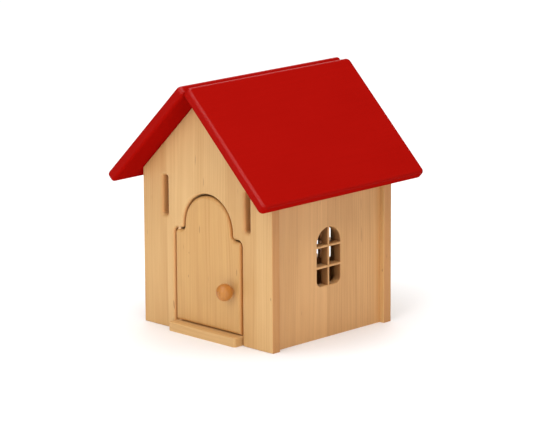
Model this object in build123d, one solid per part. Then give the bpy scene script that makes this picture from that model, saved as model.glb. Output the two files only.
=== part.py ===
"""Wooden toy house: four walls, a floor, an arched door on pivot pins and a roof in two lift-off halves.

Millimetres. +Z is up, the front wall faces -Y, and the origin is on the ground under the roof's centre.
"""
from build123d import *
import math
import os

# Walls
house_width = 200.0  # across the front and back walls
house_depth = 188.0  # front wall's outer face to back wall's outer face
eave_height = 175.3  # where the gable walls' upright edges end
roof_pitch = 44.5  # degrees
gable_thickness = 12.0  # front and back walls
side_thickness = 10.0  # left and right walls
side_inset = 6.3  # side walls stand this far in from the gable walls' upright edges
floor_thickness = 6.0
wall_edge_round = 1.2

# Doorway, open to the ground, with an arched head narrower than the door below it
door_width = 105.3
door_middle = 0.9  # to the right of the front wall's middle
shoulder_width = 14.7  # on each side of the arch
shoulder_height = 116.2  # ground to the shoulders
arch_spring = 5.5  # shoulders to the centre of the arch
shoulder_corner_round = 6.4
arch_foot_round = 4.4
doorway_edge_round = 3.6

# Door leaf, flush with the front wall's outer face
leaf_thickness = 8.0
leaf_gap = 2.2  # round the leaf, in the doorway
leaf_edge_round = 3.6

# Threshold, which the door swings out over
threshold_height = 10.4
threshold_front = 10.8  # stands out of the front wall
threshold_gap = 0.8  # at each end, to the doorway
threshold_lift = 0.9  # threshold to the door's lower edge
threshold_corner_round = 3.0
threshold_edge_round = 1.6

# Pivot pins, tight in the leaf and free in the front wall and the threshold
pin_radius = 2.0
pin_clearance = 0.08
pin_in_leaf = 14.0
pin_in_wall = 8.0
pin_in_threshold = 6.0
pin_end_gap = 0.5

# Knob
knob_radius = 9.4
knob_flatness = 0.98  # depth of the ball over its height
knob_neck_radius = 3.3
knob_neck = 2.8  # leaf to the ball
knob_sunk = 0.9  # ball into the neck's end
knob_height = 59.3
knob_to_edge = 15.5  # knob's axis to the doorway's right side
knob_tenon_radius = 3.0
knob_tenon = 5.0

# Slots beside the arch
slot_width = 7.8
slot_height = 44.5
slot_base = 127.1  # ground to the slot's lower end
slot_spacing = 127.0  # between the two slots' middles
slots_middle = -2.1  # to the right of the front wall's middle, so to its left
slot_corner_round = 2.5
slot_edge_round = 4.0

# Arched windows with six panes, one in the back wall and one in each side wall
window_width = 36.8
window_sill = 58.0
window_height = 65.1  # sill to the top of the arch
window_corner_round = 7.0
window_edge_round = 1.1
bar_width = 2.8
bar_heights = (79.3, 102.3)  # centres of the crossbars

# Dowels that join the walls, blind at both ends
dowel_radius = 3.0
dowel_in_gable = 8.0
dowel_in_side = 14.0
dowel_from_end = 24.0  # lowest and highest dowel to the side wall's ends
dowels_per_corner = 3

# Small dowels that hold the floor and the threshold
peg_radius = 1.5
peg_in_floor = 10.0
peg_in_wall = 6.0
peg_in_threshold = 8.0
peg_spacing = 90.0  # along each side wall
threshold_peg_spacing = 70.0
dowel_end_gap = 0.6
dowel_chamfer = 0.5

# Roof halves, each a board on two battens
roof_thickness = 12.0
eave_overhang = 21.3  # down the slope, past the gable walls' upright edges
front_overhang = 34.0
back_overhang = 30.0
roof_edge_round = 3.6
roof_corner_round = 5.5
roof_seat_gap = 0.1  # board to gable walls
ridge_gap = 0.4  # between the two boards' rounded lower edges
batten_width = 14.0
batten_depth = 12.0
batten_gap = 0.8  # batten to the walls around it
batten_from_ridge = 34.0  # down the slope
batten_edge_round = 1.0

# Countersunk screws that hold the battens
screw_radius = 1.6
screw_head_radius = 3.2
screw_head = 2.4
screw_in_board = 8.0
screw_tip = 2.5
screws_per_batten = 3
screw_from_end = 14.0

# Worked out from the sizes above
half_width = house_width / 2
half_depth = house_depth / 2
slope = math.tan(math.radians(roof_pitch))
ridge_height = eave_height + half_width * slope
side_outer = half_width - side_inset
side_inner = side_outer - side_thickness
inner_depth = half_depth - gable_thickness
arch_radius = door_width / 2 - shoulder_width
arch_centre = shoulder_height + arch_spring
leaf_front = -half_depth
pin_y = leaf_front + leaf_thickness / 2
pin_x = door_middle - door_width / 2 + leaf_gap + leaf_thickness / 2
leaf_base = threshold_height + threshold_lift
leaf_shoulder = shoulder_height - leaf_gap
knob_x = door_middle + door_width / 2 - knob_to_edge
pitch_run = math.cos(math.radians(roof_pitch))
pitch_rise = math.sin(math.radians(roof_pitch))
board_start = ridge_gap / 2 - roof_edge_round * (pitch_run + pitch_rise - 1)
board_length = half_width / pitch_run + eave_overhang - board_start / pitch_run
board_width = house_depth + front_overhang + back_overhang
roof_centre = (back_overhang - front_overhang) / 2
cut = 1.0  # how far cutting shapes run past what they cut

parts = {}


def upright(x, y, across):
    """A plane standing on its local Y, facing -Y for a gable wall or +X for a side wall."""
    if across == "x":
        return Plane(origin=(x, y, 0), x_dir=(1, 0, 0), z_dir=(0, -1, 0))
    return Plane(origin=(x, y, 0), x_dir=(0, 1, 0), z_dir=(1, 0, 0))


def rod(radius, start, direction, length):
    """A plain cylinder from a point along a direction."""
    return extrude(Plane(origin=start, z_dir=direction) * Circle(radius), length)


def dowel(radius, start, direction, length):
    """A dowel with chamfered ends."""
    body = rod(radius, start, direction, length)
    return chamfer(body.edges().filter_by(GeomType.CIRCLE), dowel_chamfer)


def dowel_hole(radius, start, direction, length):
    """The dowel's hole, longer than the dowel at both ends."""
    way = Vector(*direction).normalized()
    return rod(radius, Vector(*start) - way * dowel_end_gap, way, length + 2 * dowel_end_gap)


def round_corner(sketch, x, z, radius):
    """Rounds one corner of an outline."""
    corner = sketch.vertices().sort_by_distance((x, z, 0))[0]
    return fillet(corner, radius)


def doorway_outline(gap, base):
    """The doorway in X and Z, drawn in by a gap, from a base height up."""
    half = door_width / 2 - gap
    shoulder = shoulder_height - gap
    radius = arch_radius - gap
    outline = Pos(0, (base + shoulder) / 2) * Rectangle(2 * half, shoulder - base)
    outline += Pos(0, (shoulder + arch_centre) / 2) * Rectangle(2 * radius, arch_centre - shoulder)
    outline += Pos(0, arch_centre) * Circle(radius)
    for side in (-1, 1):
        outline = round_corner(outline, side * half, shoulder, shoulder_corner_round - gap)
        outline = round_corner(outline, side * radius, shoulder, arch_foot_round + gap)
    return Pos(door_middle, 0) * outline


def window_panes():
    """The six panes of a window centred on the local X axis."""
    radius = window_width / 2
    spring = window_sill + window_height - radius
    opening = Pos(0, (window_sill + spring) / 2) * Rectangle(window_width, spring - window_sill)
    opening += Pos(0, spring) * Circle(radius)
    for side in (-1, 1):
        opening = round_corner(opening, side * radius, window_sill, window_corner_round)
    opening -= Pos(0, window_sill + window_height / 2) * Rectangle(bar_width, 2 * window_height)
    for height in bar_heights:
        opening -= Pos(0, height) * Rectangle(2 * window_width, bar_width)
    return opening


def gable_board(y):
    """A gable wall's plain board, its outer outline only."""
    outline = make_face(Polyline(
        (-half_width, 0), (half_width, 0), (half_width, eave_height),
        (0, ridge_height), (-half_width, eave_height), close=True,
    ))
    return extrude(upright(0, y + gable_thickness / 2, "x") * outline, gable_thickness)


def round_gable(board, outer, inner):
    """Rounds a gable board's outer face all round, and its two upright edges on the inner face."""
    board = fillet(board.faces().sort_by(Axis.Y)[outer].edges(), wall_edge_round)
    inner_face = board.faces().sort_by(Axis.Y)[inner]
    edges = [edge for edge in inner_face.edges() if abs(edge.center().X) > half_width - cut]
    return fillet(edges, wall_edge_round)


def corner_dowel_heights():
    """Heights of the dowels at one corner of the house."""
    top = ridge_height - side_outer * slope
    step = (top - 2 * dowel_from_end) / (dowels_per_corner - 1)
    return [dowel_from_end + step * count for count in range(dowels_per_corner)]


def corner_dowel_holes():
    """Makes the wall dowels and returns their holes."""
    holes = []
    length = dowel_in_gable + dowel_in_side
    x = side_outer - side_thickness / 2
    levels = ("low", "middle", "high")
    for end_name, end in (("front", -1), ("back", 1)):
        for side_name, side in (("left", -1), ("right", 1)):
            for level, height in enumerate(corner_dowel_heights()):
                start = (side * x, end * (inner_depth + dowel_in_gable), height)
                name = f"{end_name}_{side_name}_dowel_{levels[level]}"
                parts[name] = dowel(dowel_radius, start, (0, -end, 0), length)
                holes.append(dowel_hole(dowel_radius, start, (0, -end, 0), length))
    return holes


def floor_peg_holes():
    """Makes the floor's small dowels and returns their holes."""
    holes = []
    height = floor_thickness / 2
    for side_name, side in (("left", -1), ("right", 1)):
        for end_name, end in (("front", -1), ("back", 1)):
            start = (side * (side_inner + peg_in_wall), end * peg_spacing / 2, height)
            length = peg_in_wall + peg_in_floor
            parts[f"floor_peg_{side_name}_{end_name}"] = dowel(peg_radius, start, (-side, 0, 0), length)
            holes.append(dowel_hole(peg_radius, start, (-side, 0, 0), length))
        start = (door_middle + side * threshold_peg_spacing / 2, -inner_depth - peg_in_threshold, height)
        length = peg_in_threshold + peg_in_floor
        parts[f"threshold_peg_{side_name}"] = dowel(peg_radius, start, (0, 1, 0), length)
        holes.append(dowel_hole(peg_radius, start, (0, 1, 0), length))
    return holes


def front_wall():
    """Gable board with the arched doorway, two slots and the upper pivot's hole."""
    wall = round_gable(gable_board(-half_depth + gable_thickness / 2), 0, -1)
    plane = upright(0, -inner_depth + cut, "x")
    wall -= extrude(plane * doorway_outline(0, -cut), gable_thickness + 2 * cut)
    front = wall.faces().sort_by(Axis.Y)[0]
    around = [edge for edge in front.edges() if abs(edge.center().X - door_middle) < door_width / 2 + cut]
    around = [edge for edge in around if cut + wall_edge_round < edge.center().Z < eave_height]
    wall = fillet(around, doorway_edge_round)
    for side in (-1, 1):
        outline = RectangleRounded(slot_width, slot_height, slot_corner_round)
        slot_x = slots_middle + side * slot_spacing / 2
        shape = plane * Pos(slot_x, slot_base + slot_height / 2) * outline
        wall -= extrude(shape, gable_thickness + 2 * cut)
    front = wall.faces().sort_by(Axis.Y)[0]
    wall = fillet([edge for wire in front.inner_wires() for edge in wire.edges()], slot_edge_round)
    start = (pin_x, pin_y, shoulder_height - cut)
    wall -= rod(pin_radius + pin_clearance, start, (0, 0, 1), pin_in_wall + pin_end_gap + cut)
    return wall


def back_wall():
    """Gable board with a six-pane window."""
    wall = round_gable(gable_board(half_depth - gable_thickness / 2), -1, 0)
    plane = upright(0, half_depth + cut, "x")
    wall -= extrude(plane * window_panes(), gable_thickness + 2 * cut)
    outer = wall.faces().sort_by(Axis.Y)[-1]
    return fillet([edge for wire in outer.inner_wires() for edge in wire.edges()], window_edge_round)


def side_wall():
    """The left wall: its top bevelled to the roof's pitch, with a six-pane window."""
    profile = make_face(Polyline(
        (-side_inner, 0), (-side_outer, 0),
        (-side_outer, ridge_height - side_outer * slope),
        (-side_inner, ridge_height - side_inner * slope), close=True,
    ))
    wall = extrude(upright(0, inner_depth, "x") * profile, 2 * inner_depth)
    plane = upright(-side_outer - cut, 0, "y")
    wall -= extrude(plane * window_panes(), side_thickness + 2 * cut)
    outer = wall.faces().sort_by(Axis.X)[0]
    return fillet([edge for wire in outer.inner_wires() for edge in wire.edges()], window_edge_round)


def threshold():
    """Block in the foot of the doorway, standing out in front of it."""
    width = door_width - 2 * threshold_gap
    depth = threshold_front + gable_thickness
    middle = (door_middle, -half_depth - threshold_front + depth / 2, threshold_height / 2)
    block = Pos(*middle) * Box(width, depth, threshold_height)
    front = [edge for edge in block.edges().filter_by(Axis.Z) if edge.center().Y < -half_depth]
    block = fillet(front, threshold_corner_round)
    block = fillet(block.faces().sort_by(Axis.Z)[-1].edges(), threshold_edge_round)
    start = (pin_x, pin_y, threshold_height + cut)
    block -= rod(pin_radius + pin_clearance, start, (0, 0, -1), pin_in_threshold + pin_end_gap + cut)
    return block


def door_leaf():
    """Arched leaf, rounded all round, with holes for its pivot pins and its knob."""
    outline = doorway_outline(leaf_gap, leaf_base)
    leaf = extrude(upright(0, leaf_front + leaf_thickness, "x") * outline, leaf_thickness)
    rims = leaf.faces().sort_by(Axis.Y)[0].edges() + leaf.faces().sort_by(Axis.Y)[-1].edges()
    leaf = fillet(rims, leaf_edge_round)
    leaf -= rod(pin_radius, (pin_x, pin_y, leaf_base - cut), (0, 0, 1), pin_in_leaf + cut)
    leaf -= rod(pin_radius, (pin_x, pin_y, leaf_shoulder + cut), (0, 0, -1), pin_in_leaf + cut)
    leaf -= rod(knob_tenon_radius, (knob_x, leaf_front - cut, knob_height), (0, 1, 0), knob_tenon + cut)
    return leaf


def door_knob():
    """Turned knob: a ball, a short neck and a tenon into the leaf."""
    ball_y = knob_sunk - knob_neck - knob_radius * knob_flatness
    ball = scale(Sphere(knob_radius), by=(1, knob_flatness, 1))
    knob = Pos(0, ball_y, 0) * ball
    knob += rod(knob_neck_radius, (0, 0, 0), (0, -1, 0), -ball_y)
    knob += rod(knob_tenon_radius, (0, -cut, 0), (0, 1, 0), knob_tenon + cut - dowel_end_gap)
    return Pos(knob_x, leaf_front, knob_height) * knob


def pivot_pins():
    """The upper and lower pins that the door turns on."""
    upper_start = (pin_x, pin_y, leaf_shoulder - pin_in_leaf)
    upper_end = shoulder_height + pin_in_wall
    parts["upper_pivot_pin"] = dowel(pin_radius, upper_start, (0, 0, 1), upper_end - upper_start[2])
    lower_end = threshold_height - pin_in_threshold
    lower_start = (pin_x, pin_y, lower_end)
    parts["lower_pivot_pin"] = dowel(pin_radius, lower_start, (0, 0, 1), leaf_base + pin_in_leaf - lower_end)


def roof_plane():
    """The right board's underside: local X down the slope, local Z out of the house."""
    height = ridge_height + roof_seat_gap / pitch_run - board_start * slope
    return Plane(
        origin=(board_start, 0, height),
        x_dir=(pitch_run, 0, -pitch_rise),
        z_dir=(pitch_rise, 0, pitch_run),
    )


def screw():
    """A countersunk screw with its head's face at the origin, pointing up local Z."""
    length = batten_depth + screw_in_board
    profile = make_face(Polyline(
        (0, 0), (screw_head_radius, 0), (screw_radius, screw_head),
        (screw_radius, length - screw_tip), (0, length), close=True,
    ))
    return revolve(Plane.XZ * profile, Axis.Z)


def roof_half(side_name, mirrored):
    """A board, its two battens and their screws, made on the right and mirrored for the left."""
    plane = roof_plane()
    low = (Align.MIN, Align.CENTER, Align.MIN)
    board = Pos(0, roof_centre, 0) * Box(board_length, board_width, roof_thickness, align=low)
    board = fillet(board.edges().filter_by(Axis.Z), roof_corner_round)
    flats = [board.faces().sort_by(Axis.Z)[0], board.faces().sort_by(Axis.Z)[-1]]
    board = fillet([edge for face in flats for edge in face.edges()], roof_edge_round)
    batten_y = inner_depth - batten_gap - batten_width / 2
    reach = side_inner - batten_gap
    run = (reach - board_start) / pitch_run - batten_from_ridge
    usable = run - batten_depth - 2 * screw_from_end
    pieces = {}
    for end_name, end in (("front", -1), ("back", 1)):
        blank = Box(2 * run, batten_width, batten_depth, align=(Align.MIN, Align.CENTER, Align.MAX))
        blank = plane * Pos(batten_from_ridge, end * batten_y, 0) * blank
        keep = Box(reach, house_depth, ridge_height, align=(Align.MIN, Align.CENTER, Align.MIN))
        batten = blank & keep
        screws = []
        for count in range(screws_per_batten):
            along = batten_from_ridge + screw_from_end + usable * count / (screws_per_batten - 1)
            screws.append(plane * Pos(along, end * batten_y, -batten_depth) * screw())
        for each in screws:
            batten -= each
            board -= plane.location.inverse() * each
        pieces[f"roof_{side_name}_batten_{end_name}"] = batten
        pieces[f"roof_{side_name}_screws_{end_name}"] = Compound(screws)
    pieces[f"roof_{side_name}_board"] = plane * board
    for name, piece in pieces.items():
        parts[name] = mirror(piece, about=Plane.YZ) if mirrored else piece


wall_holes = corner_dowel_holes()
peg_holes = floor_peg_holes()
parts["front_wall"] = front_wall()
parts["back_wall"] = back_wall()
parts["left_wall"] = side_wall()
parts["right_wall"] = mirror(parts["left_wall"], about=Plane.YZ)
parts["floor_board"] = Box(
    2 * side_inner, 2 * inner_depth, floor_thickness, align=(Align.CENTER, Align.CENTER, Align.MIN)
)
parts["threshold"] = threshold()
for name in ("front_wall", "back_wall", "left_wall", "right_wall"):
    for hole in wall_holes + peg_holes:
        parts[name] -= hole
for name in ("floor_board", "threshold"):
    for hole in peg_holes:
        parts[name] -= hole
parts["door_leaf"] = door_leaf()
parts["door_knob"] = door_knob()
pivot_pins()
roof_half("right", False)
roof_half("left", True)

# The roof's middle stands over the origin, so the walls stand a little behind it
os.makedirs("parts", exist_ok=True)
for name, shape in parts.items():
    export_step(Pos(0, -roof_centre, 0) * shape, f"parts/{name}.step")
print(len(parts), "parts, board", round(board_length, 1), "x", board_width, "ridge", ridge_height)
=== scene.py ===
import bpy
import math
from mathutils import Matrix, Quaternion, Vector


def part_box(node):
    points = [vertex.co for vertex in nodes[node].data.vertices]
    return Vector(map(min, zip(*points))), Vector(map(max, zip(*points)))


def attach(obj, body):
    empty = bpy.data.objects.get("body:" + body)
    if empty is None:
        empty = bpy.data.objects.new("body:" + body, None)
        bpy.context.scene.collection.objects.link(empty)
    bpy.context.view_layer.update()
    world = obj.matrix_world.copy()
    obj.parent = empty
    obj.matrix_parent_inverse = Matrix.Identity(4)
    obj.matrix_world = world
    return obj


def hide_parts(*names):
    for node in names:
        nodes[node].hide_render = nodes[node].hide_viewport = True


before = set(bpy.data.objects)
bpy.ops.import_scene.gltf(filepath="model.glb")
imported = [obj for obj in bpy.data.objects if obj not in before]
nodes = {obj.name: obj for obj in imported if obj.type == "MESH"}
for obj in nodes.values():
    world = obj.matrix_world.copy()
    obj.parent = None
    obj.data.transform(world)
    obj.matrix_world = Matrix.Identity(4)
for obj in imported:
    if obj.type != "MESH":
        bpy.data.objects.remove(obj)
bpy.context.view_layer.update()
bpy.ops.object.select_all(action="DESELECT")
print("frame loaded,", len(nodes), "nodes")


class Wire:
    def __init__(self, finish, socket):
        self.finish = finish
        self.socket = socket

    def __add__(self, other):
        return self.finish.math("ADD", self, other)

    def __radd__(self, other):
        return self.finish.math("ADD", other, self)

    def __sub__(self, other):
        return self.finish.math("SUBTRACT", self, other)

    def __rsub__(self, other):
        return self.finish.math("SUBTRACT", other, self)

    def __mul__(self, other):
        return self.finish.math("MULTIPLY", self, other)

    def __rmul__(self, other):
        return self.finish.math("MULTIPLY", other, self)

    def __truediv__(self, other):
        return self.finish.math("DIVIDE", self, other)


class Finish:
    def __init__(self, name):
        self.material = bpy.data.materials.new(name)
        self.material.use_nodes = True
        self.tree = self.material.node_tree
        self.tree.nodes.clear()
        self.shader = self.tree.nodes.new("ShaderNodeBsdfPrincipled")
        output = self.tree.nodes.new("ShaderNodeOutputMaterial")
        self.tree.links.new(self.shader.outputs[0], output.inputs[0])

    def node(self, kind, settings=None, inputs=None, output=0):
        made = self.tree.nodes.new("ShaderNode" + kind)
        for key, value in (settings or {}).items():
            setattr(made, key, value)
        for key, value in (inputs or {}).items():
            self.plug(made.inputs[key], value)
        return Wire(self, made.outputs[output])

    def plug(self, socket, value):
        if isinstance(value, Wire):
            self.tree.links.new(value.socket, socket)
        else:
            socket.default_value = value

    def math(self, operation, *values, clamp=False):
        inputs = dict(enumerate(values))
        return self.node("Math", {"operation": operation, "use_clamp": clamp}, inputs)

    def clamped(self, value):  # held between 0 and 1
        return self.math("ADD", value, 0.0, clamp=True)

    def smooth(self, value, low, high):  # 0 below low, 1 above high, soft between
        return self.node("MapRange", {"interpolation_type": "SMOOTHSTEP"},
                         {"Value": value, "From Min": low, "From Max": high})

    def mixColour(self, share, first, second, blend="MIX"):
        return self.node("Mix", {"data_type": "RGBA", "blend_type": blend},
                         {"Factor": share, 6: first, 7: second}, output=2)

    def place(self):  # object coordinates
        return self.node("TexCoord", output=3)

    def facing(self):  # the surface's direction, on the object's own axes
        return self.node("TexCoord", output=1)

    def stretched(self, size):  # object coordinates, scaled by 1 / size
        scale = tuple(1 / each for each in size)
        return self.node("Mapping", {"vector_type": "POINT"}, {"Vector": self.place(), "Scale": scale})

    def noise(self, vector, detail=2.0, rough=0.5):
        inputs = {"Vector": vector, "Scale": 1.0, "Detail": detail, "Roughness": rough}
        return self.node("TexNoise", {}, inputs)

    def bump(self, height, strength, depth):
        return self.node("Bump", {}, {"Strength": strength, "Distance": depth, "Height": height})

    def split(self, vector):
        made = self.node("SeparateXYZ", {}, {0: vector}).socket.node
        return [Wire(self, socket) for socket in made.outputs]

    def join(self, *parts):
        return self.node("CombineXYZ", {}, dict(enumerate(parts)))

    def set(self, name, value):
        self.plug(self.shader.inputs[name], value)


def grey(value):
    return (value, value, value, 1.0)


def colour(red, green, blue):  # 0-255 screen values to linear
    def linear(level):
        level = level / 255
        return level / 12.92 if level <= 0.04045 else ((level + 0.055) / 1.055) ** 2.4
    return (linear(red), linear(green), linear(blue), 1.0)


wood = {
    "fibre": 0.0008,  # width of the finest fibres
    "ring": 0.0042,  # spacing of the year rings on a board's face
    "stave": 0.046,  # width of the strips that a board is glued from
    "wander": 0.012,  # sideways wander of the grain
    "glueLine": (0.980, 0.996),  # share of a strip's half width where its glue line starts and is full
    "meanTone": 0.42,  # 0 all light, 1 all dark
    "ringShare": 0.30,
    "fibreShare": 0.34,
    "bandShare": 0.62,
    "cloudShare": 0.30,
    "glueShare": 0.22,
    "boardHalf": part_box("front_wall")[1].x,
    "arris": (0.006, 0.003),  # edges this far in from a wall's sides count as inside it
    # share of the routed colour, which is partly painted light on the reveals
    "routedTintAndLightShare": 0.6,
    "fleckLevel": (0.80, 0.86),  # noise level where a fleck starts and is full
    "fleckColour": colour(120, 70, 30),
    "gloss": 0.38,
    "reliefStrength": 0.20,
    "relief": 0.00025,
}


def woodFinish(name, light, dark, along, across, seed=0.0, contrast=1.0, staves=0.10, edgeTintAndShadeShare=0.6,
               flecks=0.8, rough=0.46, edgeTintAndShade=colour(226, 176, 128), routedTintAndLight=None, marks=()):
    made = Finish(name)
    axes = "XYZ"
    thick = [axis for axis in axes if axis not in (along, across)][0]
    part = dict(zip(axes, made.split(made.place())))
    u, v, w = part[across], part[thick], part[along]
    # slow wander of the grain
    bend = made.noise(made.join(u * 9.0 + seed, v * 9.0, w * 5.0)) - 0.5
    wide = u + bend * wood["wander"]
    # glued strips, each with its own tone and its own rings
    place = (u + seed * 0.013) / wood["stave"]
    strip = made.math("FLOOR", place)
    stripTone = made.node("TexWhiteNoise", {"noise_dimensions": "1D"}, {"W": strip + seed})
    toJoint = made.math("ABSOLUTE", made.math("FRACT", place) - 0.5) * 2.0
    joint = made.smooth(toJoint, *wood["glueLine"])
    # year rings, uneven in width
    uneven = made.noise(made.join(wide * 38.0 + stripTone * 17.0, v * 20.0, w * 1.2 + seed))
    phase = (wide + v * 0.7) / wood["ring"] + uneven * 5.0 + stripTone * 13.0
    turn = made.math("FRACT", phase)
    late = made.smooth(turn, 0.30, 0.92) - made.smooth(turn, 0.92, 1.0)
    faint = made.smooth(made.noise(made.join(wide * 60.0 + seed, v * 20.0, w * 3.0), 1.0), 0.35, 0.75)
    # fibres and broad bands
    fibre = made.noise(made.join(wide / wood["fibre"], v / wood["fibre"], w * 24.0), 3.0, 0.6)
    band = made.noise(made.join(wide * 170.0, v * 110.0 + seed, w * 6.0), 3.0, 0.55)
    cloud = made.noise(made.join(u * 22.0, v * 22.0, w * 13.0 + seed))
    # short dark flecks along the grain
    speck = made.noise(made.join(wide * 330.0, v * 120.0, w * 42.0 + seed), 0.0)
    fleck = made.smooth(speck, *wood["fleckLevel"])
    # all of it together, from light to dark
    grain = (late - 0.4) * faint * wood["ringShare"] + (fibre - 0.5) * wood["fibreShare"]
    grain = grain + (band - 0.5) * wood["bandShare"] + (cloud - 0.5) * wood["cloudShare"]
    tone = wood["meanTone"] + grain * contrast + (stripTone - 0.5) * staves * 4.0 + joint * wood["glueShare"]
    base = made.mixColour(made.clamped(tone), light, dark)
    # cut edges, across the grain's face, soak up more oil; the edge colour is partly that tint and partly
    # painted shade on reveals and side faces
    facing = dict(zip(axes, made.split(made.facing())))
    cutEdgeTintAndShade = made.smooth(made.math("ABSOLUTE", facing[across]), 0.45, 0.98)
    edgeTintedAndShaded = made.mixColour(edgeTintAndShadeShare, base, edgeTintAndShade, blend="MULTIPLY")
    if routedTintAndLight:  # edges inside the board, left by the router: their own tint plus painted light that brightens the doorway and slot reveals
        low, high = (wood["boardHalf"] - each for each in wood["arris"])
        inside = 1.0 - made.smooth(made.math("ABSOLUTE", u), low, high)
        edgeTintedAndShaded = made.mixColour(inside * wood["routedTintAndLightShare"], edgeTintedAndShaded, routedTintAndLight)
    base = made.mixColour(cutEdgeTintAndShade, base, edgeTintedAndShaded)
    # single dark marks: place across, place along, half width, half height
    for markU, markW, halfWidth, halfHeight in marks:
        sideways = (u - markU) / halfWidth
        lengthways = (w - markW) / halfHeight
        spot = 1.0 - made.smooth(sideways * sideways + lengthways * lengthways, 0.1, 1.0)
        fleck = made.math("MAXIMUM", fleck, spot)
    made.set("Base Color", made.mixColour(fleck * flecks * 0.6, base, wood["fleckColour"]))
    made.set("Roughness", rough + (fibre - 0.5) * 0.16 + late * 0.04)
    made.set("Specular IOR Level", wood["gloss"])
    height = fibre * 0.55 + late * faint * 0.25 - fleck * 0.8 - joint * 0.4
    made.set("Normal", made.bump(height, wood["reliefStrength"], wood["relief"]))
    return made.material


paleWood = colour(219, 179, 122)
honeyWood = colour(189, 139, 79)
finishes = {
    "frontWood": woodFinish("frontWood", paleWood, honeyWood, "Z", "X", seed=1.265,
                            routedTintAndLight=colour(226, 172, 112),
                            marks=((0.0975, 0.0600, 0.0009, 0.0024),)),
    # the side walls' dark edge colour is mostly painted shade in their window reveals
    "sideWood": woodFinish("sideWood", colour(224, 172, 114), colour(188, 135, 78), "Z", "Y", seed=7.1,
                           flecks=0.4, edgeTintAndShade=colour(128, 90, 62)),
    "doorWood": woodFinish("doorWood", colour(216, 172, 110), colour(183, 131, 70), "Z", "X", seed=11.7,
                           staves=0.0, edgeTintAndShade=colour(244, 194, 140), marks=(
                               (-0.0110, 0.1190, 0.0009, 0.0056), (0.0461, 0.0806, 0.0008, 0.0050),
                               (-0.0280, 0.0902, 0.0007, 0.0014), (-0.0292, 0.0637, 0.0007, 0.0020))),
    "sillWood": woodFinish("sillWood", paleWood, honeyWood, "X", "Y", seed=5.2, staves=0.0, edgeTintAndShadeShare=0.0),
    "floorWood": woodFinish("floorWood", paleWood, honeyWood, "Y", "X", seed=3.7),
    "battenWood": woodFinish("battenWood", paleWood, honeyWood, "Z", "Y", seed=4.4, staves=0.0),
    "knobWood": woodFinish("knobWood", colour(202, 137, 62), colour(160, 90, 33), "Z", "X", seed=9.9,
                           contrast=1.5, staves=0.0, edgeTintAndShadeShare=0.0, rough=0.36),
    "dowelWood": woodFinish("dowelWood", colour(236, 200, 154), colour(204, 154, 104), "Y", "X", seed=1.4,
                            staves=0.0, edgeTintAndShadeShare=0.0),
}


roof = {
    "pitch": 44.5,  # degrees
    "paint": (colour(164, 15, 9), colour(152, 11, 6)),
    "rimHighlightGloss": 0.34,
    "slopeGloss": 0.05,
    "glossRoughness": 0.2,
    "brushWidth": 0.0022,
    "brushLength": 0.09,
    "reliefStrength": 0.18,
    "relief": 0.0002,
}


def paintFinish(name):
    made = Finish(name)
    brush = (roof["brushWidth"], roof["brushLength"], roof["brushWidth"])
    streak = made.noise(made.stretched(brush), 3.0, 0.6)
    cloud = made.noise(made.stretched((0.05, 0.12, 0.05)))
    peel = made.noise(made.stretched((0.0016, 0.0022, 0.0016)))
    tone = made.clamped((streak - 0.5) * 0.6 + (cloud - 0.5) * 0.6 + 0.5)
    made.set("Base Color", made.mixColour(tone, *roof["paint"]))
    made.set("Roughness", 0.24 + (streak - 0.5) * 0.08)
    made.set("Specular IOR Level", 0.0)
    # painted highlight: the coat is set by which way the surface faces, so gloss shows on the rounded upper
    # edges, hardly on the flat slope, and no reflection shows below
    upward = made.split(made.facing())[2]
    slopeUp = math.cos(math.radians(roof["pitch"]))
    offSlope = made.smooth(made.math("ABSOLUTE", upward - slopeUp), 0.01, 0.09)
    paintedHighlightRims = made.smooth(upward, 0.0, 0.45) * offSlope
    notBelow = made.smooth(upward, -0.5, -0.1)
    made.set("Coat Weight", paintedHighlightRims * roof["rimHighlightGloss"] + notBelow * roof["slopeGloss"])
    made.set("Coat Roughness", roof["glossRoughness"])
    made.set("Normal", made.bump(streak * 0.7 + peel * 0.3, roof["reliefStrength"], roof["relief"]))
    return made.material


def metalFinish(name):
    made = Finish(name)
    grain = made.noise(made.stretched((0.0006, 0.0006, 0.0006)), 3.0, 0.6)
    made.set("Base Color", made.mixColour(grain, colour(196, 194, 186), colour(168, 166, 160)))
    made.set("Metallic", 1.0)
    made.set("Roughness", 0.32 + grain * 0.12)
    return made.material


finishes["redPaint"] = paintFinish("redPaint")
finishes["zincSteel"] = metalFinish("zincSteel")


def dress(name, finish):
    holder = nodes[name]
    holder.data.materials.clear()
    holder.data.materials.append(finishes[finish])


for name in nodes:
    if name.startswith("roof_") and name.endswith("_board"):
        dress(name, "redPaint")
    elif "screws" in name:
        dress(name, "zincSteel")
    elif "batten" in name:
        dress(name, "battenWood")
    elif "dowel" in name or "peg" in name or "pin" in name:
        dress(name, "dowelWood")
dress("front_wall", "frontWood")
dress("back_wall", "frontWood")
dress("left_wall", "sideWood")
dress("right_wall", "sideWood")
dress("floor_board", "floorWood")
dress("threshold", "sillWood")
dress("door_leaf", "doorWood")
dress("door_knob", "knobWood")
print("finishes made")


def extrudeTo(centre, step, ratio):  # next ring of a turned shape: a step along Y, then a new width
    bpy.ops.mesh.extrude_region_move(TRANSFORM_OT_translate={"value": (0, step, 0)})
    bpy.ops.transform.resize(value=(ratio, 1, ratio), center_override=centre)


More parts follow.
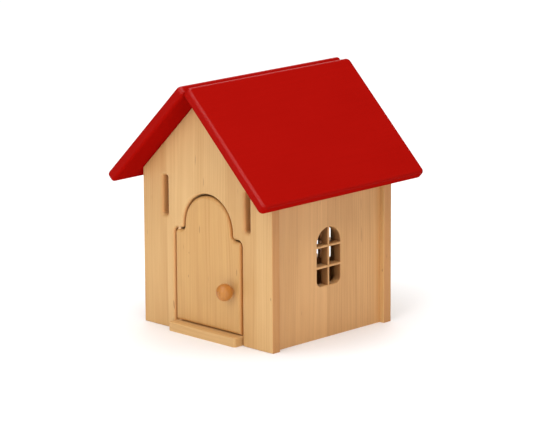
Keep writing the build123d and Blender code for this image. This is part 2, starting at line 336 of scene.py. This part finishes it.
def finishPiece(holder, name, body, node, finish, angle):
    bpy.ops.mesh.select_all(action="SELECT")
    bpy.ops.mesh.normals_make_consistent(inside=False)
    bpy.ops.object.mode_set(mode="OBJECT")
    bpy.ops.object.shade_smooth_by_angle(angle=math.radians(angle))
    bpy.ops.object.transform_apply(location=True, rotation=True, scale=True)
    holder.name = name
    holder.data.materials.clear()
    holder.data.materials.append(finishes[finish])
    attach(holder, body)
    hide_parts(node)
    bpy.ops.object.select_all(action="DESELECT")


# turned knob: a ball with a small worn nose, cut open at the back for a waisted neck
knob = {
    "segments": 96,
    "rings": 64,
    "backOpening": 0.0036,  # radius where the ball meets the neck
    "neckRings": ((0.0003, 0.90), (0.0004, 0.94), (0.0005, 1.0), (0.0004, 1.06), (0.0004, 1.12)),
    "intoLeaf": 0.0004,
    "nose": 0.00022,  # worn off the front
    "noseRound": 0.0009,
}


def turnedKnob():
    low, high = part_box("door_knob")
    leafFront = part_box("door_leaf")[0].y
    radius = (high.x - low.x) / 2
    centre = Vector(((low.x + high.x) / 2, low.y + radius, (low.z + high.z) / 2))
    bpy.ops.mesh.primitive_uv_sphere_add(segments=knob["segments"], ring_count=knob["rings"], radius=radius,
                                         location=centre, rotation=(math.pi / 2, 0, 0))
    holder = bpy.context.object
    bpy.ops.object.transform_apply(location=True, rotation=True, scale=True)
    bpy.ops.object.mode_set(mode="EDIT")
    # worn nose
    bpy.ops.mesh.select_all(action="SELECT")
    bpy.ops.mesh.bisect(plane_co=(centre.x, low.y + knob["nose"], centre.z), plane_no=(0, 1, 0),
                        clear_inner=True, use_fill=True)
    bpy.ops.mesh.bevel(offset=knob["noseRound"] / 3, segments=3)
    # open back, then the neck's rings into the leaf
    back = centre.y + math.sqrt(radius ** 2 - knob["backOpening"] ** 2)
    bpy.ops.mesh.select_all(action="SELECT")
    bpy.ops.mesh.bisect(plane_co=(centre.x, back, centre.z), plane_no=(0, 1, 0), clear_outer=True)
    gap = leafFront + knob["intoLeaf"] - back
    whole = sum(step for step, ratio in knob["neckRings"])
    for step, ratio in knob["neckRings"]:
        extrudeTo(centre, step * gap / whole, ratio)
    bpy.ops.mesh.fill()
    finishPiece(holder, "doorKnobTurned", "door", "door_knob", "knobWood", 50.0)


# countersunk screws with a cross recess, three to a batten
screw = {
    "length": 0.020,
    "headRadius": 0.0032,
    "headRim": 0.00025,
    "headDepth": 0.0024,
    "shankRadius": 0.0016,
    "pointRadius": 0.0003,
    "pointLength": 0.0025,
    "recessSpan": 0.0038,
    "recessWidth": 0.0008,
    "recessDepth": 0.0012,
    "count": 3,
}


def crossCutter():
    parts = []
    for turn in (0, math.pi / 2):
        bpy.ops.mesh.primitive_cube_add(size=1, rotation=(0, 0, turn), scale=(
            screw["recessSpan"], screw["recessWidth"], 2 * screw["recessDepth"]))
        parts.append(bpy.context.object)
        bpy.ops.object.mode_set(mode="EDIT")
        bpy.ops.mesh.select_all(action="SELECT")
        bpy.ops.mesh.bevel(offset=screw["recessWidth"] / 4, segments=2)
        bpy.ops.object.mode_set(mode="OBJECT")
    return parts


def screwBlank():
    bpy.ops.mesh.primitive_circle_add(vertices=48, radius=screw["headRadius"], fill_type="NGON")
    holder = bpy.context.object
    bpy.ops.object.mode_set(mode="EDIT")
    bpy.ops.mesh.select_all(action="SELECT")
    radius = screw["headRadius"]
    shank = screw["length"] - screw["headDepth"] - screw["pointLength"]
    for rise, nextRadius in ((screw["headRim"], screw["headRadius"]),
                             (screw["headDepth"] - screw["headRim"], screw["shankRadius"]),
                             (shank, screw["shankRadius"]), (screw["pointLength"], screw["pointRadius"])):
        bpy.ops.mesh.extrude_region_move(TRANSFORM_OT_translate={"value": (0, 0, rise)})
        bpy.ops.transform.resize(value=(nextRadius / radius, nextRadius / radius, 1))
        radius = nextRadius
    bpy.ops.mesh.select_all(action="SELECT")
    bpy.ops.mesh.normals_make_consistent(inside=False)
    bpy.ops.object.mode_set(mode="OBJECT")
    for cutter in crossCutter():
        cut = holder.modifiers.new("recess", "BOOLEAN")
        cut.object = cutter
        cut.operation = "DIFFERENCE"
        cut.solver = "EXACT"
        bpy.context.view_layer.objects.active = holder
        bpy.ops.object.modifier_apply(modifier=cut.name)
        bpy.data.objects.remove(cutter)
    bpy.ops.object.select_all(action="DESELECT")
    return holder


def screwRow(blank, side, end):
    node = f"roof_{side}_screws_{end}"
    low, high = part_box(node)
    pitch = math.radians(roof["pitch"])
    run, rise = math.cos(pitch), math.sin(pitch)
    sign = 1 if side == "right" else -1
    nearX = low.x if side == "right" else -high.x  # both sides worked out as if on the right
    farX = high.x if side == "right" else -low.x
    first = Vector((nearX + screw["headRadius"] * run, 0, high.z - screw["length"] * run))
    last = Vector((farX - screw["length"] * rise, 0, low.z + screw["headRadius"] * rise))
    row = []
    for count in range(screw["count"]):
        spot = first.lerp(last, count / (screw["count"] - 1))
        blank.select_set(True)
        bpy.context.view_layer.objects.active = blank
        bpy.ops.object.duplicate()
        each = bpy.context.object
        each.location = (sign * spot.x, (low.y + high.y) / 2, spot.z)
        each.rotation_euler = (0, sign * pitch, 0)
        bpy.ops.object.transform_apply(location=True, rotation=True, scale=True)
        bpy.ops.object.select_all(action="DESELECT")
        row.append(each)
    for each in row:
        each.select_set(True)
    bpy.context.view_layer.objects.active = row[0]
    bpy.ops.object.join()
    bpy.ops.object.mode_set(mode="EDIT")
    finishPiece(row[0], f"screws{side.title()}{end.title()}", f"roof_{side}", node, "zincSteel", 30.0)


turnedKnob()
blank = screwBlank()
for side in ("left", "right"):
    for end in ("front", "back"):
        screwRow(blank, side, end)
bpy.data.objects.remove(blank)
print("knob and screws made")


studio = {
    "floorSize": 6.0,
    "worldLevel": 0.05,
    "aimHeight": 0.13,  # where the lamps point
    "lamps": {  # turn from the front, height and distance, then size, then watts
        "skyPanel": ((0.0, 89.0, 3.6), (5.0, 5.0), 230.0),
        "keyLight": ((15.0, 27.0, 2.7), (1.3, 1.1), 24.0),
        "sideFill": ((66.0, 16.0, 2.9), (1.3, 1.0), 17.0),
        "frontFill": ((-30.0, 10.0, 2.9), (1.3, 1.0), 6.0),
        "backFill": ((222.0, 24.0, 3.2), (1.8, 1.6), 14.0),
    },
}


def paleFloor():
    bpy.ops.mesh.primitive_plane_add(size=studio["floorSize"], location=(0, 0, 0))
    floor = bpy.context.object
    floor.name = "floor"
    made = Finish("floorPaper")
    cloud = made.noise(made.stretched((0.4, 0.4, 0.4)))
    made.set("Base Color", made.mixColour(cloud, grey(0.93), grey(0.95)))
    made.set("Roughness", 0.85)
    made.set("Specular IOR Level", 0.1)
    floor.data.materials.append(made.material)


def areaLight(name, place, aim, size, power):
    lamp = bpy.data.lights.new(name, "AREA")
    lamp.shape = "RECTANGLE"
    lamp.size, lamp.size_y = size
    lamp.energy = power
    holder = bpy.data.objects.new(name, lamp)
    bpy.context.scene.collection.objects.link(holder)
    holder.location = place
    way = Vector(aim) - Vector(place)
    holder.rotation_mode = "QUATERNION"
    holder.rotation_quaternion = way.to_track_quat("-Z", "Y")


def outward(turn, height):  # a way out from the house: degrees round from the front, degrees up
    turn, height = math.radians(turn), math.radians(height)
    return Vector((math.sin(turn) * math.cos(height), -math.cos(turn) * math.cos(height), math.sin(height)))


def makeStudio():
    paleFloor()
    world = bpy.data.worlds.new("studio")
    bpy.context.scene.world = world
    world.use_nodes = True
    background = world.node_tree.nodes["Background"]
    background.inputs["Color"].default_value = grey(1.0)
    background.inputs["Strength"].default_value = studio["worldLevel"]
    middle = Vector((0, 0, studio["aimHeight"]))
    for name, ((turn, height, distance), size, power) in studio["lamps"].items():
        areaLight(name, middle + outward(turn, height) * distance, middle, size, power)
    bpy.context.scene.view_settings.view_transform = "Standard"


lens = {
    "azimuth": 44.794,
    "elevation": 13.131,
    "roll": -0.293,
    "distance": 3.38445,
    "focal": 205.92,
    "sensor": 36.0,
    "aimX": -0.00741,  # from the house's middle
    "aimBehindFront": 0.100,  # behind the front wall's face
    "aimHeight": 0.12178,
}


def makeCamera():
    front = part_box("front_wall")[0].y
    aim = Vector((lens["aimX"], front + lens["aimBehindFront"], lens["aimHeight"]))
    back = outward(lens["azimuth"], lens["elevation"])
    camera = bpy.data.cameras.new("camera")
    camera.lens = lens["focal"]
    camera.sensor_width = lens["sensor"]
    holder = bpy.data.objects.new("camera", camera)
    bpy.context.scene.collection.objects.link(holder)
    holder.rotation_mode = "QUATERNION"
    roll = Quaternion((0, 0, 1), math.radians(lens["roll"]))
    holder.rotation_quaternion = (-back).to_track_quat("-Z", "Y") @ roll
    holder.location = aim + back * lens["distance"]
    bpy.context.scene.camera = holder


makeCamera()
makeStudio()
print("studio made")
